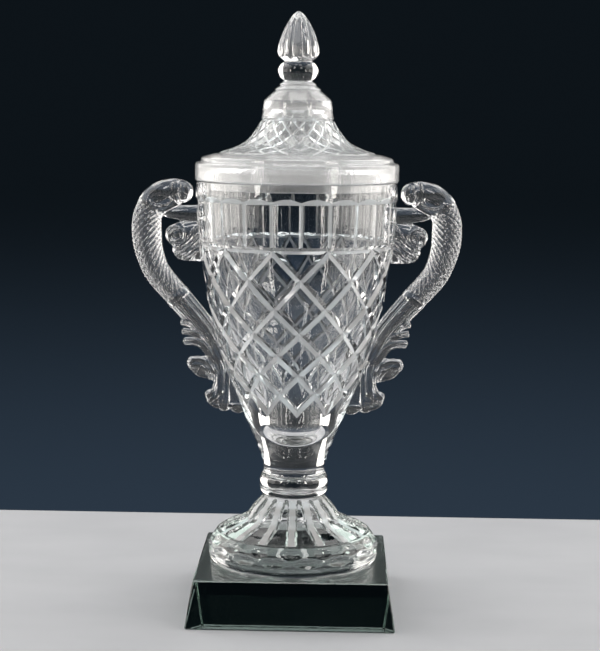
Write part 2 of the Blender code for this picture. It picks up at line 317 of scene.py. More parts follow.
# ---------------------------------------------------------------- cut lattice
class Lattice:
    """Diamonds cut in a turned body by V grooves, between rows of crossing points."""

    def __init__(self, shell, rows, columns, turn, radius_at, groove):
        self.shell = shell
        self.rows = [height * MM for height in rows]
        self.columns = columns
        self.turn = turn
        self.half = 180.0 / columns
        self.radius_at = radius_at
        self.width, self.depth = groove
        self.levels = [self.grid_levels(i) for i in range(len(rows) - 1)]

    def grid_levels(self, row):
        """Where a diamond's side between two rows is divided: at the grooves and inside."""
        start = self.on_body(0.0, self.rows[row])
        end = self.on_body(self.half, self.rows[row + 1])
        share = 0.5 * self.width / (end - start).length
        return [0.0] + between(share, 1 - share, FACET_STEPS) + [1.0]

    def on_body(self, angle, height):
        return polar(self.radius_at(height), angle, height)

    def groove(self, angle, height):
        """The bottom of a groove, sunk square to the body."""
        step = 0.2 * MM
        slope = (self.radius_at(height + step) - self.radius_at(height - step)) / (2 * step)
        length = math.hypot(1.0, slope)
        return polar(self.radius_at(height) - self.depth / length, angle,
                     height + self.depth * slope / length)

    @staticmethod
    def weights(s, t):
        """The shares of a diamond's top, right, left and bottom corners at a place in it."""
        return (1 - s) * (1 - t), s * (1 - t), (1 - s) * t, s * t

    def place(self, corners, s, t):
        """The angle and height of a place in a diamond."""
        return tuple(sum(w * corner[axis] for w, corner in zip(self.weights(s, t), corners))
                     for axis in (0, 1))

    def edge(self, corners, s, t):
        return self.groove(*self.place(corners, s, t))

    def facet(self, corners, s, t):
        """A point on a diamond's face, between the turned body and its four corners."""
        flat = Vector((0.0, 0.0, 0.0))
        for weight, corner in zip(self.weights(s, t), corners):
            flat += weight * self.on_body(*corner)
        return self.on_body(*self.place(corners, s, t)).lerp(flat, FLATNESS)

    def diamond(self, corners, above, below):
        """One whole diamond with four slopes down to the grooves round it.

        The slopes that face up keep the wheel's ground finish."""
        last = len(above) - 1
        grid = {}
        for i in range(last + 1):
            for j in range(last + 1):
                s = above[i] + (below[i] - above[i]) * j / last
                t = above[j] + (below[j] - above[j]) * i / last
                outer = i in (0, last) or j in (0, last)
                grid[i, j] = self.edge(corners, s, t) if outer else self.facet(corners, s, t)
        for i in range(last):
            for j in range(last):
                self.shell.finish = GROUND if 0 in (i, j) else POLISHED
                a, b, c, d = grid[i, j], grid[i, j + 1], grid[i + 1, j + 1], grid[i + 1, j]
                if i in (0, last - 1) and j in (0, last - 1):
                    if (i == 0) == (j == 0):
                        self.shell.face(a, b, c)
                        self.shell.face(a, c, d)
                    else:
                        self.shell.face(a, b, d)
                        self.shell.face(b, c, d)
                else:
                    self.shell.face(a, b, c, d)
        self.shell.finish = POLISHED

    def half_diamond(self, left, right, tip, levels):
        """The triangle between a ring groove and the tip of the diamond it cuts in half."""
        flip = tip[1] > left[1]
        corners = ((tip[0], 2 * left[1] - tip[1]), right, left, tip)
        flat_corners = [self.on_body(*corner) for corner in (right, left, tip)]
        share = levels[1]
        inset = 1 - share

        def face(*points):
            self.shell.face(*(reversed(points) if flip else points))

        def facet(s, t):
            flat = sum((weight * corner for weight, corner
                        in zip((1 - t, 1 - s, s + t - 1), flat_corners)), Vector())
            return self.on_body(*self.place(corners, s, t)).lerp(flat, FLATNESS)

        steps = levels[2:-1]
        left_inner = [facet(2 * share, inset)] + [facet(s, inset) for s in steps]
        right_inner = [facet(inset, 2 * share)] + [facet(inset, t) for t in steps]
        left_outer = [self.edge(corners, s, 1.0) for s in levels[1:-1]]
        right_outer = [self.edge(corners, 1.0, t) for t in levels[1:-1]]
        left_node, right_node, tip_node = (self.groove(*corner)
                                           for corner in (left, right, tip))
        ring_middle = self.groove(tip[0], left[1])
        middle = (1 + share) / 2
        top_inner = facet(middle, middle)
        self.shell.finish = GROUND if flip else POLISHED
        face(left_node, left_outer[0], left_inner[0])
        face(right_node, right_inner[0], right_outer[0])
        for i in range(len(left_inner) - 1):
            face(left_outer[i], left_outer[i + 1], left_inner[i + 1], left_inner[i])
            face(right_inner[i], right_inner[i + 1], right_outer[i + 1], right_outer[i])
        face(left_outer[-1], tip_node, left_inner[-1])
        face(tip_node, right_outer[-1], right_inner[-1])
        self.shell.finish = POLISHED if flip else GROUND
        face(ring_middle, left_node, left_inner[0], top_inner)
        face(right_node, ring_middle, top_inner, right_inner[0])
        self.shell.finish = POLISHED
        face(top_inner, *left_inner, *reversed(right_inner[:-1]))

    def build(self, ring_below=False):
        """Cuts every row; the first hangs from a ring groove, and one may close the last."""
        for i in range(len(self.rows) - 1):
            for column in range(self.columns):
                centre = self.turn + self.half * (2 * column + i % 2)
                left = (centre - self.half, self.rows[i])
                right = (centre + self.half, self.rows[i])
                bottom = (centre, self.rows[i + 1])
                if i == 0:
                    self.half_diamond(left, right, bottom, self.levels[0])
                else:
                    corners = ((centre, self.rows[i - 1]), right, left, bottom)
                    self.diamond(corners, self.levels[i - 1], self.levels[i])
        if ring_below:
            for column in range(self.columns):
                centre = self.turn + self.half * (2 * column + (len(self.rows) - 1) % 2)
                self.half_diamond((centre - self.half, self.rows[-1]),
                                  (centre + self.half, self.rows[-1]),
                                  (centre, self.rows[-2]), self.levels[-1])

    def ring(self, height):
        """The bottom of a ring groove: a corner for each half column."""
        return [self.groove(self.turn + self.half * i, height)
                for i in range(2 * self.columns)]


# ---------------------------------------------------------------- bowl
def close_lattice(lattice, segments):
    """The smooth body between the lowest grooves, down to a plain ring of points.

    Returns the height of that ring."""
    shell, half = lattice.shell, lattice.half
    upper, lower = lattice.rows[-2:]
    levels = lattice.levels[-1]
    drop = 2 * levels[1] * (upper - lower)
    steps = segments // lattice.columns
    for column in range(lattice.columns):
        centre = lattice.turn + half * (2 * column + 1 - len(lattice.rows) % 2)
        rows = []
        for share in levels:
            height = upper + (lower - upper) * share
            ends = (centre - half * share, centre + half * share)
            inside = [lattice.on_body(angle, height - drop) for angle in between(*ends, steps)]
            rows.append((lattice.groove(ends[0], height), inside,
                         lattice.groove(ends[1], height)))
        for (left, inside, right), (low_left, low_inside, low_right) in zip(rows, rows[1:]):
            shell.finish = GROUND
            shell.face(left, low_left, low_inside[0], inside[0])
            shell.face(right, inside[-1], low_inside[-1], low_right)
            shell.finish = POLISHED
            for i in range(steps):
                shell.face(inside[i], low_inside[i], low_inside[i + 1], inside[i + 1])
    return lower - drop


def scalloped_ring(steps):
    """The lower edge of the rim band: an arch over each panel."""
    return [polar(RIM_RADIUS, BOWL_TURN + 360 * i / (PANELS * steps),
                  BAND_BOTTOM + ARCH_RISE * math.sin(math.pi * (i % steps) / steps))
            for i in range(PANELS * steps)]


def cut_panels(shell, lattice):
    """Flat upright panels under the rim band, arched above and mitred between."""
    span = 360.0 / PANELS
    steps = ROUND_SEGMENTS // PANELS
    arches = scalloped_ring(steps)
    inset, sunk = MITRE
    top_radius = bowl_radius(PANEL_TOP) - PANEL_SUNK
    low_radius = bowl_radius(PANEL_BOTTOM)
    for k in range(PANELS):
        ends = (BOWL_TURN + span * k, BOWL_TURN + span * (k + 1))
        inner = (ends[0] + inset, ends[1] - inset)
        top = [polar(top_radius, a, PANEL_TOP) for a in inner]
        low = [polar(low_radius, a, PANEL_BOTTOM) for a in inner]
        mitre_top = [polar(top_radius - sunk, a, PANEL_TOP) for a in ends]
        mitre_low = [polar(low_radius - sunk, a, PANEL_BOTTOM) for a in ends]
        ring = [lattice.groove(a, lattice.rows[0]) for a in ends]
        arch = [arches[(k * steps + i) % len(arches)] for i in range(steps + 1)]
        shell.face(top[0], low[0], low[1], top[1])
        shell.finish = GROUND
        shell.face(*reversed(arch), mitre_top[0], top[0], top[1], mitre_top[1])
        shell.face(mitre_top[0], mitre_low[0], low[0], top[0])
        shell.face(top[1], low[1], mitre_low[1], mitre_top[1])
        shell.finish = POLISHED
        shell.face(low[0], ring[0], ring[1], low[1])
        shell.face(mitre_low[0], ring[0], low[0])
        shell.face(low[1], ring[1], mitre_low[1])


def build_bowl():
    """The cup with its cut outside and smooth cavity, as one closed body."""
    shell = Shell()
    lip = [(RIM_RADIUS - 2 * LIP, RIM_TOP), (RIM_RADIUS - 0.3 * LIP, RIM_TOP - 0.4 * LIP),
           (RIM_RADIUS, RIM_TOP - 1.4 * LIP), (RIM_RADIUS, BAND_BOTTOM + 2 * ARCH_RISE)]
    rings = shell.turned(lip)
    shell.band(rings[-1], scalloped_ring(ROUND_SEGMENTS // PANELS))
    lattice = Lattice(shell, BOWL_ROWS, COLUMNS, BOWL_TURN, bowl_radius, BOWL_GROOVE)
    cut_panels(shell, lattice)
    lattice.build()

    start = close_lattice(lattice, ROUND_SEGMENTS)
    neck = [(bowl_radius(height), height) for height in between(start, NECK_END, 16)]
    edge, joint = NECK_RADII
    neck += [(edge, COLLAR[1][2] + NECK_ROUND), (joint, COLLAR[1][2] - OVERLAP)]
    rings = shell.turned(neck)
    shell.cap(rings[-1], up=False)

    centre = CAVITY_BODY[0][0] * MM
    cavity_radius = radius_along(CAVITY_BODY)
    reach = cavity_radius(centre)
    floor = [(reach * math.cos(math.radians(a)),
              centre + (centre - CAVITY_FLOOR) * math.sin(math.radians(a)))
             for a in range(-85, -4, 5)]
    heights = between(centre, RIM_TOP - 1.2 * LIP, 40)
    wall = [(cavity_radius(height), height) for height in heights]
    inner_radius = RIM_RADIUS - RIM_WALL
    wall[-1] = (inner_radius, heights[-1])
    mouth = [(inner_radius + 0.25 * LIP, RIM_TOP - 0.4 * LIP),
             (inner_radius + 1.2 * LIP, RIM_TOP)]
    cavity = shell.turned(floor + wall + mouth)
    shell.cap(cavity[0], up=True)
    shell.finish = GROUND
    shell.turned([mouth[-1], lip[0]])
    return soften(shell.piece("bowl_cut"), 0.32 * MM, 9)


# ---------------------------------------------------------------- lid and finial
def build_lid():
    """The hollow domed lid: stepped neck, cut cove, flat shoulder and flange."""
    shell = Shell()
    segments = 8 * LID_COLUMNS
    shell.finish = SATIN
    rings = shell.turned(in_metres(LID_NECK), segments)
    shell.cap(rings[0], up=True)
    lattice = Lattice(shell, LID_ROWS, LID_COLUMNS, BOWL_TURN, radius_along(LID_COVE), LID_GROOVE)
    join_to_corners(shell, rings[-1], lattice.ring(lattice.rows[0]))
    lattice.build(ring_below=True)
    shell.finish = SATIN
    shoulder = in_metres(LID_SHOULDER)
    rings = shell.turned(shoulder, segments)
    join_to_corners(shell, rings[0], lattice.ring(lattice.rows[-1]), corners_above=True)
    bottom = LID[0][2]
    outer, inner = SPIGOT_RADII
    spigot = [(outer, LID_SEAT), (outer, bottom + LIP), (outer - LIP, bottom),
              (inner + 0.8 * LIP, bottom), (inner, bottom + LIP)]
    shell.turned([shoulder[-1]] + spigot + in_metres(LID_INSIDE), segments)
    shell.finish = POLISHED
    rings = shell.turned(in_metres(LID_INSIDE[-1:] + LID_DOME), segments)
    shell.cap(rings[-1], up=False)
    return soften(shell.piece("lid_cut"), 0.2 * MM, 12)


def join_to_corners(shell, ring, corners, corners_above=False):
    """Faces from a fine ring to a coarser one whose corners line up with its points."""
    fine = len(ring) // len(corners)
    for k, corner in enumerate(corners):
        following = corners[(k + 1) % len(corners)]
        arch = [ring[(fine * k + i) % len(ring)] for i in range(fine + 1)]
        if corners_above:
            shell.face(corner, *arch, following)
        else:
            shell.face(*reversed(arch), corner, following)


KNOP_MIDDLE = 0.52           # the widest level, as a share of the knop's height
KNOP_REACH = 9.4 * MM        # from there to the top of the whole ball
KNOP_ARC = (-56, 42)         # degrees up from there to the flats below and above


def build_knop():
    """The smooth ball under the bud, flattened where it meets its neighbours."""
    shell = Shell()
    top = KNOP[1][2]
    bottom = LID[1][2] - OVERLAP
    middle = KNOP[0][2] + KNOP_MIDDLE * (top - KNOP[0][2])
    radius = KNOP[1][0]
    heights = [middle + KNOP_REACH * math.sin(math.radians(a)) for a in between(*KNOP_ARC, 22)]
    heights = [bottom] + heights[1:-1] + [top]
    profile = [(radius * math.sqrt(1 - ((height - middle) / KNOP_REACH) ** 2), height)
               for height in reversed(heights)]
    shell.close(shell.turned(profile, 96))
    return soften(shell.piece("knop_polished"), 0.25 * MM, 25)


BUD_FLUTES = 12
BUD_DEPTH = 0.11             # of the flutes, as a share of the radius
BUD_FADE = (426, 437)        # heights between which the flutes run out at the tip
BUD_BASE = (405.5, 410.5)    # and at the base
BUD_TURN = -3.0              # degrees
BUD_BODY = (
    (404.3, 10), (405.4, 11.6), (407.6, 14), (409.4, 14.9), (411, 15.2), (416.4, 14.4),
    (421.8, 12.8), (427, 10.6), (431.2, 8.4), (435.4, 5.7), (438.4, 3.2), (439.8, 1),
)


def build_bud():
    """The pointed bud: hollow flutes between sharp ridges, scalloped at the base."""
    shell = Shell()
    bud_radius = radius_along(BUD_BODY)
    per_flute = 8
    count = BUD_FLUTES * per_flute
    heights = [BUD[1][2] - 0.25 * MM * i * i / 4 for i in range(1, 4)]
    heights += between(438.6 * MM, 411.0 * MM, 26)
    heights += [h * MM for h in (409.6, 408.4, 407.2, 406.0, 405.0, 404.3)]
    heights.append(KNOP[1][2] - OVERLAP)
    rings = []
    for height in heights:
        radius = bud_radius(height)
        depth = BUD_DEPTH * (1 - smooth_step(*BUD_FADE, height / MM))
        depth *= smooth_step(*BUD_BASE, height / MM)
        ring = []
        for i in range(count):
            share = (i % per_flute) / per_flute - 0.5
            hollow = depth * math.cos(math.pi * share)
            ring.append(polar(radius * (1 - hollow), 360 * i / count + BUD_TURN, height))
        rings.append(ring)
    shell.skin(rings)
    shell.close(rings)
    return soften(shell.piece("bud_fluted"), 0.22 * MM, 22)


# ---------------------------------------------------------------- collar, foot, plinth
FOOT_FLUTES = 16
FOOT_RIB = 3.3 * MM          # half the width of the bars between the flutes
BAR_GROUND = 0.7             # share of a bar's width with a ground finish
BAR_HEIGHTS = (57 * MM, 82 * MM)
FLUTE_DEPTH = 1.9 * MM
FLUTE_TOP, FLUTE_ARCH = 82.6, 5          # height of the arched top, and its rise, in millimetres
FLUTE_FOOT = (56.6, 57.8)                # where a flute runs out at its foot
# Oval hollows round the band: height, half height, half width in half flutes, depth
THUMBPRINT = (45.9 * MM, 3.7 * MM, 0.86, 1.7 * MM)
SMALL_PRINT = (52.2 * MM, 2.6 * MM, 0.55, 1.1 * MM)      # under each bar
FOOT_EDGE = 59.5 * MM                    # radius where the foot meets the plinth


def build_collar():
    """A barrel-shaped ring of clear glass between two narrow fillets."""
    shell = Shell()
    shell.close(shell.turned(in_metres(COLLAR_BODY), 128))
    return soften(shell.piece("collar_barrel"), 0.2 * MM, 25)


def foot_profile():
    """(radius, height, outward, upward) down the foot's ridges, finely divided."""
    heights = between(83.9, 64.5, 26) + between(64.5, 56.0, 20)[1:]
    points = [(curve_through(FOOT_BELL, height), height) for height in heights]
    levels = (between(55.2, 49.6, 10) + between(49.4, 42.2, 14) + between(41.4, 38.2, 4)
              + [36.6, 35.8, 35.4])
    points += [(curve_through(FOOT_BAND, height), height) for height in levels]
    result = []
    for i, (radius, height) in enumerate(points):
        before, after = points[max(0, i - 1)], points[min(len(points) - 1, i + 1)]
        run, fall = after[0] - before[0], before[1] - after[1]
        length = math.hypot(run, fall)
        result.append((radius * MM, height * MM, fall / length, run / length))
    return result


def foot_hollow(share, height, radius):
    """How deep the flutes are cut; share runs from -1 to 1 from rib to rib."""
    rise = height / MM
    rib = FOOT_RIB / (radius * math.pi / FOOT_FLUTES)
    across = smooth_step(0.85 * rib, 1.15 * rib, 1 - abs(share))
    dish = 0.7 + 0.3 * math.cos(math.pi * share / 2)
    arch_top = FLUTE_TOP - FLUTE_ARCH * share * share
    down = smooth_step(-arch_top, 1.0 - arch_top, -rise) * smooth_step(*FLUTE_FOOT, rise)
    return FLUTE_DEPTH * across * dish * down


def thumbprint(share, height, middle, reach, width, depth):
    """A shallow oval hollow with a crisp rim."""
    inside = 1 - (share / width) ** 2 - ((height - middle) / reach) ** 2
    return depth * max(0.0, inside)


def foot_cut(share, height, radius):
    """All the hollows of the foot together; share is 0 between two ribs."""
    beside = 1 - abs(share)
    return (foot_hollow(share, height, radius)
            + thumbprint(share, height, *THUMBPRINT)
            + thumbprint(beside, height, *SMALL_PRINT))


def on_bar(upper, lower, flutes):
    """Whether a face, so many flutes round from the first rib, lies on a bar's ground top."""
    middle = (upper + lower) / 2
    away = abs(flutes - round(flutes)) * 2 * math.pi / FOOT_FLUTES * math.hypot(middle.x, middle.y)
    return BAR_HEIGHTS[0] < middle.z < BAR_HEIGHTS[1] and away < BAR_GROUND * FOOT_RIB


def build_foot():
    """The bell foot: hollow flutes between raised ribs, over a thumbprinted base band."""
    shell = Shell()
    per_flute = 24
    count = FOOT_FLUTES * per_flute
    rings = []
    for radius, height, out, up in foot_profile():
        ring = []
        for i in range(count):
            share = 2 * (i % per_flute) / per_flute - 1
            depth = foot_cut(share, height, radius)
            ring.append(polar(radius - depth * out, 360 * (i / per_flute) / FOOT_FLUTES,
                              height - depth * up))
        rings.append(ring)
    rings.append(shell.ring(FOOT_EDGE, PLINTH[1][2] - OVERLAP, count, 0.0))
    for upper, lower in zip(rings, rings[1:]):
        for i in range(count):
            j = (i + 1) % count
            shell.finish = GROUND if on_bar(upper[i], lower[j], (i + 0.5) / per_flute) else POLISHED
            shell.face(upper[i], lower[i], lower[j], upper[j])
    shell.finish = POLISHED
    shell.close(rings)
    return soften(shell.piece("foot_fluted"), 0.25 * MM, 18)


PLINTH_SLOPE = 5.5 * MM      # how far each side leans in over its height
PLINTH_CHAMFER = 0.9 * MM


def build_plinth():
    """The square block, its sides sloping in, with fine polished chamfers."""
    low, high = PLINTH
    work = bmesh.new()
    bmesh.ops.create_cube(work, size=1.0)
    for vertex in work.verts:
        at_top = vertex.co.z > 0
        reach = high.x - (PLINTH_SLOPE if at_top else 0.0)
        vertex.co = (math.copysign(reach, vertex.co.x), math.copysign(reach, vertex.co.y),
                     high.z if at_top else low.z)
    bmesh.ops.bevel(work, geom=work.edges[:], offset=PLINTH_CHAMFER, segments=1,
                    profile=0.5, affect="EDGES")
    mesh = bpy.data.meshes.new("plinth_polished")
    work.to_mesh(mesh)
    work.free()
    piece = add_object("plinth_polished", mesh)
    return soften(piece, 0.12 * MM, 20)


# ---------------------------------------------------------------- handles
# The right handle, in the XZ plane, in millimetres. A station of a limb is
# (x, z, half-width in the plane, half-thickness along Y).
ARM = (
    (84.4, 308.6, 8.4, 7.6), (92, 309.2, 8.9, 8.2), (100, 306.4, 9.6, 8.3),
    (106.6, 299.5, 10.4, 8.4), (110.2, 289, 11.4, 8.4), (110.5, 278, 11.6, 8.4),
    (109.6, 268.5, 11.2, 8.4), (107.2, 259.5, 10.7, 8.3), (103.3, 250, 10.3, 8.2),
    (96.3, 241, 10, 8), (89.6, 233.7, 9.8, 7.6), (82, 225, 9.4, 7.2),
    (74, 216, 9, 6.6), (66, 206, 8.4, 5.8), (60.5, 196, 8, 4.8),
    (56.5, 186, 7, 3.8),
)
LIMBS = (
    # the tongue from the curl to the bowl, and the scroll under it
    ((107, 293.2, 1.8, 2.4), (97.5, 293.3, 3.3, 4.2), (91, 293.3, 4.8, 5.2),
     (80, 292.8, 6, 6), (66, 292, 6.8, 6.6)),
    ((89, 303.4, 5.4, 6.8), (95, 300.6, 7, 7.8), (101, 298.6, 7.4, 8.2),
     (106, 297, 7.4, 8.2)),
    ((89, 277, 7.9, 6.4), (84, 278, 8.6, 6.4), (76, 279, 9.2, 6.4),
     (66, 280, 9.6, 6.4)),
    ((83.4, 266.2, 8, 6.4), (78, 266, 8.2, 6.4), (66, 266, 8.2, 6.4)),
    ((86, 271.5, 6.6, 6.2), (72, 272, 9, 6), (66, 272, 9, 6)),
    # leaf lobes, from the top down
    ((66, 205.5, 4.5, 5.2), (73, 208.2, 3.4, 4.8), (79, 210.8, 2.7, 4.2),
     (83.4, 211.4, 2.4, 3.6)),
    ((65, 200, 4.2, 5), (72, 202.2, 3, 4.6), (78, 204.3, 2.3, 4),
     (82.6, 204.6, 2.1, 3.4)),
    ((60.5, 184, 3.6, 4.2), (63.6, 188.6, 3.4, 4.8), (67.2, 193.2, 3.1, 5),
     (71.4, 196, 2.8, 4.8), (76.4, 197, 2.6, 4.4), (80.6, 196.8, 2.5, 3.8)),
    ((58, 184, 5, 3.6), (68, 182, 4.6, 4), (75.3, 181.8, 4.4, 4.2)),
    ((58, 178, 6.6, 3.4), (66, 177.4, 5.6, 3.6), (71.5, 177.4, 4.6, 3.6)),
    ((54, 160, 4.4, 3), (59.5, 158.2, 4.6, 3.6), (62.6, 157.8, 4.1, 3.8)),
    ((52, 155, 5, 2.8), (59, 154.6, 4.6, 3.2)),
    # the flat web down to the lowest point
    ((56, 192, 6.4, 3.2), (53.4, 180, 5.6, 2.6), (53, 168, 5.4, 2.5),
     (52.6, 156, 5.6, 2.5), (52.4, 151, 5.8, 2.5)),
    ((50, 184, 6, 2.2), (46, 170, 6, 2), (43, 158, 7.6, 2),
     (42, 151.8, 8, 2)),
)
# Rounded beads along an edge in the middle plane: (radius, (x, z), ...)
EDGE_BEADS = (
    (1.5, (77.4, 185), (79, 182.4), (78.6, 179.6), (75.6, 176.4), (71.6, 172.8),
     (66, 171.2), (60.4, 169.6)),
    (1.6, (65.6, 158.6), (64, 153.4), (60, 149.7), (54.6, 148.9), (46, 149.8),
     (37, 149.8)),
    (1.5, (68, 259), (80, 258.9), (85.5, 260.2), (90.2, 265.2)),
)
# Ridges on both faces: (radius, distance from the middle plane, (x, z), ...)
FACE_RIDGES = (
    (1.4, 7.5, (90.2, 316), (90.4, 311), (89, 305), (86.4, 300.4)),
    (1.2, 6.3, (81, 313), (79.8, 308.6), (81, 303.6)),
    (1.4, 6.2, (93.6, 279.4), (91.2, 282.2), (87.2, 282.3), (84.2, 279.2), (84.4, 275),
     (87.4, 272.4), (91.6, 272.6)),
    (1.2, 6.2, (88.9, 277.6), (88.6, 277.2)),
    (1.5, 6.2, (68, 284), (75, 279.6), (79.4, 273.6), (86.6, 268.2)),
    (1.5, 6.2, (68, 277), (74, 272.6), (80, 266.6), (85.6, 263.4)),
    (1.5, 6.2, (68, 270), (74, 266.4), (79.6, 262), (82.6, 260)),
    (1.3, 3.7, (70, 205.6), (76, 210.6), (84, 213)),
    (1.2, 3.9, (69, 200), (74.6, 204.2), (83.2, 206)),
    (0.9, 4.2, (70, 221), (66, 211), (62.6, 199)),
    (1.5, 4.3, (82, 198.4), (76.4, 198.6), (70.8, 197.4), (66.4, 194), (63, 189)),
    (1.3, 3.7, (76.4, 184.6), (70, 184.6), (64.4, 181.6), (61, 176)),
    (1.2, 3.5, (76.6, 179.6), (70.6, 179.4), (65, 176.4), (62.2, 171.6)),
    (1.2, 3.4, (77.8, 182.2), (74.6, 182)),
    (1.1, 3.2, (65, 157.4), (61.6, 161), (59.4, 167), (59, 176)),
    (1.1, 3, (63, 153.8), (58.8, 156.6), (56.8, 163), (56.4, 174)),
    (1.3, 3.2, (66.8, 206), (62.6, 197), (58.2, 186), (55, 174), (54.6, 160)),
    (1.1, 2.4, (50.4, 190), (50.5, 173), (51.2, 150)),
    (0.7, 2.6, (54.6, 190), (54.2, 172), (55, 150.4)),
)
HANDLE_TRIM = 2.2 * MM       # how far a handle's back runs into the bowl's turned body
HANDLE_GRAIN = 0.6 * MM      # spacing of the handle's surface mesh
LIMB_SIDES = 28


def through_points(points, steps):
    """A smooth open curve through tuples of numbers."""
    ends = [points[0], *points, points[-1]]
    result = []
    for i in range(1, len(ends) - 2):
        before, start, end, after = (np.array(p, float) for p in ends[i - 1:i + 3])
        for t in between(0, 1, steps)[:-1]:
            result.append(0.5 * (2 * start + (end - before) * t
                                 + (2 * before - 5 * start + 4 * end - after) * t * t
                                 + (3 * start - before - 3 * end + after) * t ** 3))
    result.append(np.array(points[-1], float))
    return result


def add_limb(shell, stations, sides=LIMB_SIDES):
    """A closed limb of oval section through stations (x, y, z, half-width, thickness)."""
    stations = through_points(stations, 6)
    centres = [Vector(station[:3]) * MM for station in stations]
    rings = []

    def ring(centre, along, wide, thick):
        across = Vector((along.z, 0.0, -along.x)).normalized()
        return [centre + across * wide * math.cos(a) + Vector((0, thick * math.sin(a), 0))
                for a in (2 * math.pi * i / sides for i in range(sides))]

    last = len(centres) - 1
    for i, (centre, station) in enumerate(zip(centres, stations)):
        along = (centres[min(last, i + 1)] - centres[max(0, i - 1)]).normalized()
        wide, thick = station[3] * MM, station[4] * MM
        cap = [] if 0 < i < last else [math.radians(a) for a in (82, 62, 42, 22)]
        sign = -1 if i == 0 else 1
        domes = [ring(centre + sign * along * wide * math.sin(a), along,
                      wide * math.cos(a), thick * math.cos(a)) for a in cap]
        body = ring(centre, along, wide, thick)
        rings += domes + [body] if i == 0 else [body] + domes[::-1]
    shell.skin(rings)
    shell.close(rings)


def handle_core():
    """The handle's limbs, beads and ridges, merged into one smooth skin."""
    shell = Shell()
    for limb in (ARM, *LIMBS):
        add_limb(shell, [(x, 0.0, z, wide, thick) for x, z, wide, thick in limb])
    for radius, *path in EDGE_BEADS:
        add_limb(shell, [(x, 0.0, z, radius, 1.6 * radius) for x, z in path], 16)
    for radius, away, *path in FACE_RIDGES:
        for side in (-1, 1):
            add_limb(shell, [(x, side * away, z, radius, radius) for x, z in path], 12)
    mesh = shell.mesh("handle_core")
    work = bmesh.new()
    work.from_mesh(mesh)
    bmesh.ops.recalc_face_normals(work, faces=work.faces)
    work.to_mesh(mesh)
    work.free()
    core = add_object("handle_core", mesh)
    remesh = core.modifiers.new("Merge", "REMESH")
    remesh.mode = "VOXEL"
    remesh.voxel_size = HANDLE_GRAIN
    smooth = core.modifiers.new("Smooth", "SMOOTH")
    smooth.factor = 0.5
    smooth.iterations = 4
    return bake(core)


def arm_coordinates(points):
    """Distance along the arm, share across it (-1 to 1) and angle round it, for points."""
    line = np.array(through_points(ARM, 12))
    centres = line[:, :2] * MM
    steps = np.linalg.norm(np.diff(centres, axis=0), axis=1)
    distance = np.concatenate([[0.0], np.cumsum(steps)])
    tangents = np.gradient(centres, axis=0)
    tangents /= np.linalg.norm(tangents, axis=1)[:, None]
    flat = points[:, [0, 2]]
    nearest = np.empty(len(flat), int)
    for start in range(0, len(flat), 4000):
        block = flat[start:start + 4000]
        gaps = ((block[:, None, :] - centres[None]) ** 2).sum(2)
        nearest[start:start + 4000] = gaps.argmin(1)
    offset = flat - centres[nearest]
    along = distance[nearest] + (offset * tangents[nearest]).sum(1)
    across = offset[:, 0] * tangents[nearest, 1] - offset[:, 1] * tangents[nearest, 0]
    wide = line[nearest, 2] * MM
    thick = line[nearest, 3] * MM
    angle = np.arctan2(points[:, 1] / thick, across / wide)
    size = np.hypot(points[:, 1] / thick, across / wide)
    return along, angle, size


def soft_edge(low, high, values):
    t = np.clip((values - low) / (high - low), 0, 1)
    return t * t * (3 - 2 * t)


SCALE_ROWS = (26 * MM, 101 * MM)     # distances along the arm where the scales start and end
SCALE_LENGTH = 4.8 * MM
SCALES_ROUND = 14
SCALE_DEPTH = 1.45 * MM
LEG_FLUTES = 12              # round the arm below its scales
LEG_DEPTH = 1.15 * MM
LEG_END = 157 * MM
ARM_OUTSIDE = (1.22, 1.05)   # the carving fades out over these shares of the arm's section
ARM_INSIDE = (0.72, 0.86)
# Cheek and nostril: middle and half sizes in millimetres, soft edge, depth
HEAD_HOLLOWS = (
    ((100, 302.6), (9, 5.2), (1.1, 0.45), 1.7 * MM),
    ((85.6, 309.8), (1.7, 1.7), (1.2, 0.1), 1.1 * MM),
)
CUT_HEIGHTS = (0.33, 0.11)   # the cutter's top and bottom, beyond the handle's


def scale_hollow(along, angle):
    """Depth of a net of small hollows: 1 in the middle of each, 0 on the ridges."""
    row = along / SCALE_LENGTH
    column = angle / (2 * math.pi) * SCALES_ROUND
    nearest = 1.0
    for shift in (0.0, 0.5):
        down = row - shift - np.round(row - shift)
        across = column - shift - np.round(column - shift)
        nearest = np.minimum(nearest, down ** 2 + across ** 2)
    return np.maximum(0.0, 1 - 4 * nearest)


def vertex_rows(mesh, attribute):
    """A row of three numbers for each vertex."""
    rows = np.empty((len(mesh.vertices), 3))
    mesh.vertices.foreach_get(attribute, rows.reshape(-1))
    return rows


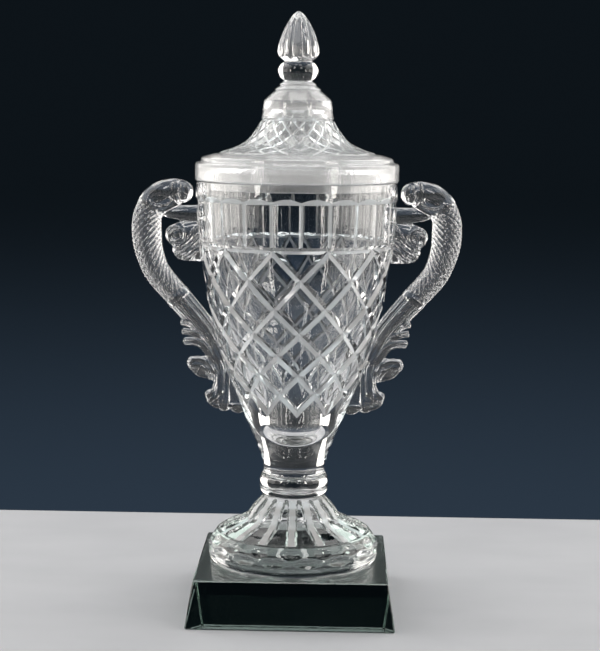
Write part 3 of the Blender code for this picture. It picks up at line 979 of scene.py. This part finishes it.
def shape_handle(mesh):
    """Presses scales, flutes and hollows into the skin, then cuts its back to the bowl."""
    points = vertex_rows(mesh, "co")
    normals = vertex_rows(mesh, "normal")
    along, angle, size = arm_coordinates(points)
    on_arm = soft_edge(*ARM_OUTSIDE, size) * soft_edge(*ARM_INSIDE, size)
    scaled_part = (soft_edge(SCALE_ROWS[0], SCALE_ROWS[0] + 4 * MM, along)
                   * soft_edge(SCALE_ROWS[1], SCALE_ROWS[1] - 2 * MM, along))
    move = -SCALE_DEPTH * scale_hollow(along, angle) * scaled_part * on_arm
    leg = (soft_edge(SCALE_ROWS[1] + 1.5 * MM, SCALE_ROWS[1] + 5 * MM, along)
           * soft_edge(LEG_END, LEG_END - 11 * MM, along))
    move -= LEG_DEPTH * np.abs(np.cos(LEG_FLUTES / 2 * angle)) * leg * on_arm
    x, y, z = points.T / MM
    face = soft_edge(2.5, 5.0, np.abs(y))
    for middle, reach, edge, depth in HEAD_HOLLOWS:
        oval = ((x - middle[0]) / reach[0]) ** 2 + ((z - middle[1]) / reach[1]) ** 2
        move -= depth * soft_edge(*edge, oval) * face
    points = points + normals * move[:, None]
    mesh.vertices.foreach_set("co", points.ravel())
    return cut_back(mesh)


def cut_back(mesh):
    """Cuts the handle off a little inside the bowl's turned body."""
    shell = Shell()
    profile = [(bowl_radius(height) - HANDLE_TRIM, height)
               for height in between(*CUT_HEIGHTS, 70)]
    shell.close(shell.turned(profile, 120))
    cutter = shell.piece("bowl_cutter")
    handle = add_object("handle_uncut", mesh)
    cut = handle.modifiers.new("Cut", "BOOLEAN")
    cut.operation = "DIFFERENCE"
    cut.solver = "EXACT"
    cut.object = cutter
    result = bake(handle)
    bpy.data.objects.remove(cutter, do_unlink=True)
    result.shade_smooth()
    return result


def build_handles():
    """The right handle, and the left one as its half turn about the trophy's axis."""
    mesh = shape_handle(handle_core())
    mesh.name = "handle_moulded_right"
    right = add_object("handle_moulded_right", mesh)
    turned = mesh.copy()
    turned.name = "handle_moulded_left"
    turned.transform(Matrix.Rotation(math.pi, 4, "Z"))
    left = add_object("handle_moulded_left", turned)
    return right, left


# ---------------------------------------------------------------- adhesive
def add_bead(name, path, radius, sides=8):
    """A fine bead of adhesive that squeezed out along a joint, a closed loop."""
    shell = Shell()
    count = len(path)
    rings = []
    for i, point in enumerate(path):
        along = (path[(i + 1) % count] - path[i - 1]).normalized()
        outward = Vector((point.x, point.y, 0.0)).normalized()
        up = along.cross(outward).normalized()
        outward = up.cross(along)
        rings.append([point + radius * (outward * math.cos(a) + up * math.sin(a))
                      for a in (2 * math.pi * k / sides for k in range(sides))])
    for i in range(count):
        shell.band(rings[(i + 1) % count], rings[i])
    piece = shell.piece(name)
    piece.data.shade_smooth()
    return piece


def round_joint(radius, height, count=96):
    return [polar(radius, 360 * i / count, height) for i in range(count)]


def handle_joint(side, low, high, reach, count=72):
    """A rounded loop on the bowl's side, from low to high and reach to either side."""
    path = []
    for i in range(count):
        a = 2 * math.pi * i / count
        c, s = math.cos(a), math.sin(a)
        y = reach * math.copysign(math.sqrt(abs(c)), c)
        z = (low + high) / 2 + (high - low) / 2 * math.copysign(math.sqrt(abs(s)), s)
        out = bowl_radius(z) - 0.2 * MM
        path.append(Vector((side * math.sqrt(out * out - y * y), y, z)))
    return path


# ---------------------------------------------------------------- materials
RIPPLE_HEIGHT = 0.25 * MM


def set_inputs(node, **values):
    """Sets values on a node's inputs, whose names are written with _ for spaces."""
    for name, value in values.items():
        node.inputs[name.replace("_", " ")].default_value = value
    return node


def add_node(tree, kind, **values):
    return set_inputs(tree.nodes.new("ShaderNode" + kind), **values)


def new_material(name):
    """A material, its node tree and its shader."""
    material = bpy.data.materials.new(name)
    material.use_nodes = True
    return material, material.node_tree, material.node_tree.nodes["Principled BSDF"]


def glass_material(name, tint, density, index, clarity, polish, ripple, fineness=140.0):
    """Cast glass: its surface rippled, its polish uneven, tinted by its depth."""
    material, tree, shader = new_material(name)
    link = tree.links.new
    set_inputs(shader, Transmission_Weight=clarity, IOR=index, Base_Color=(1.0, 1.0, 1.0, 1.0))
    place = add_node(tree, "TexCoord")
    haze = add_node(tree, "TexNoise", Scale=55.0, Detail=3.0)
    spread = add_node(tree, "MapRange", From_Min=0.35, From_Max=0.75, To_Min=polish[0],
                      To_Max=polish[1])
    wave = add_node(tree, "TexNoise", Scale=fineness, Detail=2.0)
    bump = add_node(tree, "Bump", Strength=ripple, Distance=RIPPLE_HEIGHT)
    absorb = add_node(tree, "VolumeAbsorption", Color=(*tint, 1.0), Density=density)
    link(place.outputs["Object"], haze.inputs["Vector"])
    link(place.outputs["Object"], wave.inputs["Vector"])
    link(haze.outputs["Fac"], spread.inputs["Value"])
    link(spread.outputs["Result"], shader.inputs["Roughness"])
    link(wave.outputs["Fac"], bump.inputs["Height"])
    link(bump.outputs["Normal"], shader.inputs["Normal"])
    link(absorb.outputs["Volume"], tree.nodes["Material Output"].inputs["Volume"])
    return material


def dress(piece, materials, body, slot, *nodes):
    for material in materials:
        piece.data.materials.append(material)
    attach(piece, body)
    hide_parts(*nodes)


# ---------------------------------------------------------------- set
FLOOR_HALF_WIDTH = 0.80
FLOOR_FRONT = -0.55
FLOOR_BACK = 0.274
FLOOR_THICKNESS = 0.012
FLOOR_GAP = 0.2 * MM         # under the plinth
FLOOR_DARK = (0.36, 0.37, 0.39, 1.0)
FLOOR_PALE = (0.42, 0.43, 0.45, 1.0)


def build_floor():
    """A plain pale table top under the trophy."""
    shell = Shell()
    top = CAD_BOX[0][2] - FLOOR_GAP
    low = top - FLOOR_THICKNESS
    corners = ((-FLOOR_HALF_WIDTH, FLOOR_FRONT), (FLOOR_HALF_WIDTH, FLOOR_FRONT),
               (FLOOR_HALF_WIDTH, FLOOR_BACK), (-FLOOR_HALF_WIDTH, FLOOR_BACK))
    upper = [Vector((x, y, top)) for x, y in corners]
    lower = [Vector((x, y, low)) for x, y in corners]
    shell.skin([upper, lower])
    shell.close([upper, lower])
    floor = soften(shell.piece("floor"), 1.5 * MM, 30)
    material, tree, shader = new_material("floor_paint")
    noise = add_node(tree, "TexNoise", Scale=18.0)
    ramp = add_node(tree, "ValToRGB")
    ramp.color_ramp.elements[0].color = FLOOR_DARK
    ramp.color_ramp.elements[1].color = FLOOR_PALE
    tree.links.new(noise.outputs["Fac"], ramp.inputs["Fac"])
    tree.links.new(ramp.outputs["Color"], shader.inputs["Base Color"])
    set_inputs(shader, Roughness=0.6)
    floor.data.materials.append(material)


SOFTBOX_AWAY = 1.3
LOW_RISE = 20              # degrees: the lights below this are the warm ones
AIM = 0.55                 # the level they face, as a share of the trophy's height
SOFTBOX = (0.62, 0.80)     # width and height
STRIP = (0.14, 0.55)
# (degrees from straight behind the trophy, degrees up, brightness), either side
SOFTBOXES = (
    (51, 8, 2.2), (76, 8, 2.8), (101, 8, 2.6), (123, 8, 1),
    (40, 46, 2.2), (76, 44, 2.6), (114, 44, 1.6),
)
STRIPS = ((138, 12, 14.0), (158, 40, 8.0))
WARM = (1.0, 0.962, 0.918)
NEUTRAL = (1.0, 0.985, 0.968)


def add_softbox(name, azimuth, rise, brightness, size):
    """A softbox facing the trophy, out of the camera's sight; the low ones are warmer."""
    light = bpy.data.lights.new(name, "AREA")
    light.color = WARM if rise < LOW_RISE else NEUTRAL
    light.shape = "RECTANGLE"
    light.size, light.size_y = size
    light.energy = brightness * math.pi * size[0] * size[1]
    box = add_object(name, light)
    middle = Vector((0.0, 0.0, CAD_BOX[1][2] * AIM))
    level = SOFTBOX_AWAY * math.cos(math.radians(rise))
    away = polar(level, 180 - azimuth, SOFTBOX_AWAY * math.sin(math.radians(rise)))
    box.location = middle + away
    box.rotation_euler = (-away).to_track_quat("-Z", "Y").to_euler()
    box.visible_camera = False


def build_lights():
    """Soft light from the sides and above, with a dark gap straight behind."""
    for kind, size, places in (("softbox", SOFTBOX, SOFTBOXES), ("strip", STRIP, STRIPS)):
        for azimuth, rise, brightness in places:
            for side in (-1, 1):
                name = "%s_%d_%d" % (kind, rise, side * azimuth)
                add_softbox(name, side * azimuth, rise, brightness, size)
    add_softbox("softbox_top", 90, 90, 3.2, SOFTBOX)


def build_backdrop():
    """A dark room behind the table, a little bluer and lighter near the table's edge."""
    world = bpy.data.worlds.new("dark_room")
    world.use_nodes = True
    tree = world.node_tree
    link = tree.links.new
    place = add_node(tree, "TexCoord")
    split = add_node(tree, "SeparateXYZ")
    rise = add_node(tree, "MapRange", From_Min=-0.25, From_Max=-0.04)
    ramp = add_node(tree, "ValToRGB")
    ramp.color_ramp.interpolation = "EASE"
    ramp.color_ramp.elements[0].color = (0.024, 0.038, 0.058, 1.0)
    ramp.color_ramp.elements[1].color = (0.0042, 0.0068, 0.0095, 1.0)
    link(place.outputs["Generated"], split.inputs["Vector"])
    link(split.outputs["Z"], rise.inputs["Value"])
    link(rise.outputs["Result"], ramp.inputs["Fac"])
    link(ramp.outputs["Color"], tree.nodes["Background"].inputs["Color"])
    bpy.context.scene.world = world


# The camera stands far back and a little above the lid's rim
CAMERA_PLACE = (31.3 * MM, -1198.3 * MM, 361.2 * MM)
CAMERA_PITCH = 7.167       # degrees down
CAMERA_YAW = -1.336        # degrees towards +X
CAMERA_ROLL = -0.646
LENS = 90.0442             # millimetres, for a sensor this wide
SENSOR = 36.0


def build_camera():
    data = bpy.data.cameras.new("camera")
    data.sensor_fit = "AUTO"
    data.sensor_width = SENSOR
    data.lens = LENS
    data.clip_start = 0.01
    camera = add_object("camera", data)
    turn = (Matrix.Rotation(math.radians(-CAMERA_YAW), 4, "Z")
            @ Matrix.Rotation(math.radians(90 - CAMERA_PITCH), 4, "X")
            @ Matrix.Rotation(math.radians(-CAMERA_ROLL), 4, "Z"))
    camera.matrix_world = Matrix.Translation(CAMERA_PLACE) @ turn
    bpy.context.scene.camera = camera


# ---------------------------------------------------------------- assembly
CLEAR_TINT = (0.82, 0.90, 0.92)
CLEAR_DENSITY = 1.1
LEAD_FREE = 1.53             # refractive index of the castings


def crystal(name, clarity, polish, ripple, fineness=140.0):
    """The castings' glass, with one finish or another."""
    return glass_material(name + "_crystal", CLEAR_TINT, CLEAR_DENSITY, LEAD_FREE,
                          clarity, polish, ripple, fineness)


CRYSTAL = crystal("clear", 1.0, (0.0, 0.03), 0.25)
HAZED = crystal("hazed", 0.90, (0.01, 0.06), 0.4, 260.0)
CUT = crystal("cut", 0.69, (0.03, 0.12), 0.5, 300.0)
FROSTED = crystal("frosted", 0.77, (0.03, 0.20), 1.0, 420.0)
MOULDED = crystal("moulded", 0.97, (0.01, 0.06), 0.35, 200.0)
SMOKED = glass_material("plinth_crystal", (0.50, 0.60, 0.56), 17.0, 1.52, 1.0, (0.0, 0.02), 0.04)
GLUE = glass_material("clear_adhesive", (0.95, 0.93, 0.88), 4.0, 1.49, 1.0, (0.10, 0.22), 0.5)

build_camera()
build_lights()
build_backdrop()
build_floor()
dress(build_bowl(), [CRYSTAL, CUT], "cup", "cut_glass", "bowl")
dress(build_collar(), [CRYSTAL], "cup", "cut_glass", "stem_collar")
dress(build_foot(), [CRYSTAL, CUT], "cup", "cut_glass", "foot")
dress(build_plinth(), [SMOKED], "cup", "plinth_glass", "plinth")
dress(build_lid(), [HAZED, CUT, FROSTED], "lid", "cut_glass", "lid")
dress(build_knop(), [CRYSTAL], "lid", "cut_glass", "finial_knop")
dress(build_bud(), [HAZED], "lid", "cut_glass", "finial_bud")
for handle, side in zip(build_handles(), ("right", "left")):
    dress(handle, [MOULDED], "cup", "cut_glass", "handle_" + side)

# Round joints: film, body, the piece under it, height over that, radii of loop and bead
ROUND_JOINTS = (
    ("plinth_bond", "cup", PLINTH, 0.35 * MM, 61.0 * MM, 0.45 * MM),
    ("foot_bond", "cup", FOOT, 0.3 * MM, 22.4 * MM, 0.4 * MM),
    ("collar_bond", "cup", COLLAR, 0.3 * MM, 22.6 * MM, 0.4 * MM),
    ("knop_bond", "lid", LID, 0.3 * MM, 10.8 * MM, 0.35 * MM),
    ("bud_bond", "lid", KNOP, 0.3 * MM, 10.2 * MM, 0.35 * MM),
)
# The handles' joints: lowest and highest level, and reach to either side
HANDLE_JOINTS = (
    ("upper", 258.0 * MM, 299.0 * MM, 6.6 * MM),
    ("lower", 150.4 * MM, 206.0 * MM, 3.2 * MM),
)
HANDLE_BEAD = 0.45 * MM
for node, body, under, lift, radius, size in ROUND_JOINTS:
    bead = add_bead(node + "_bead", round_joint(radius, under[1][2] + lift), size)
    dress(bead, [GLUE], body, "adhesive", node)
for side, name in ((1, "right"), (-1, "left")):
    for place, low, high, reach in HANDLE_JOINTS:
        node = "handle_bond_%s_%s" % (place, name)
        bead = add_bead(node + "_bead", handle_joint(side, low, high, reach), HANDLE_BEAD)
        dress(bead, [GLUE], "cup", "adhesive", node)

bpy.context.scene.view_settings.view_transform = "Standard"
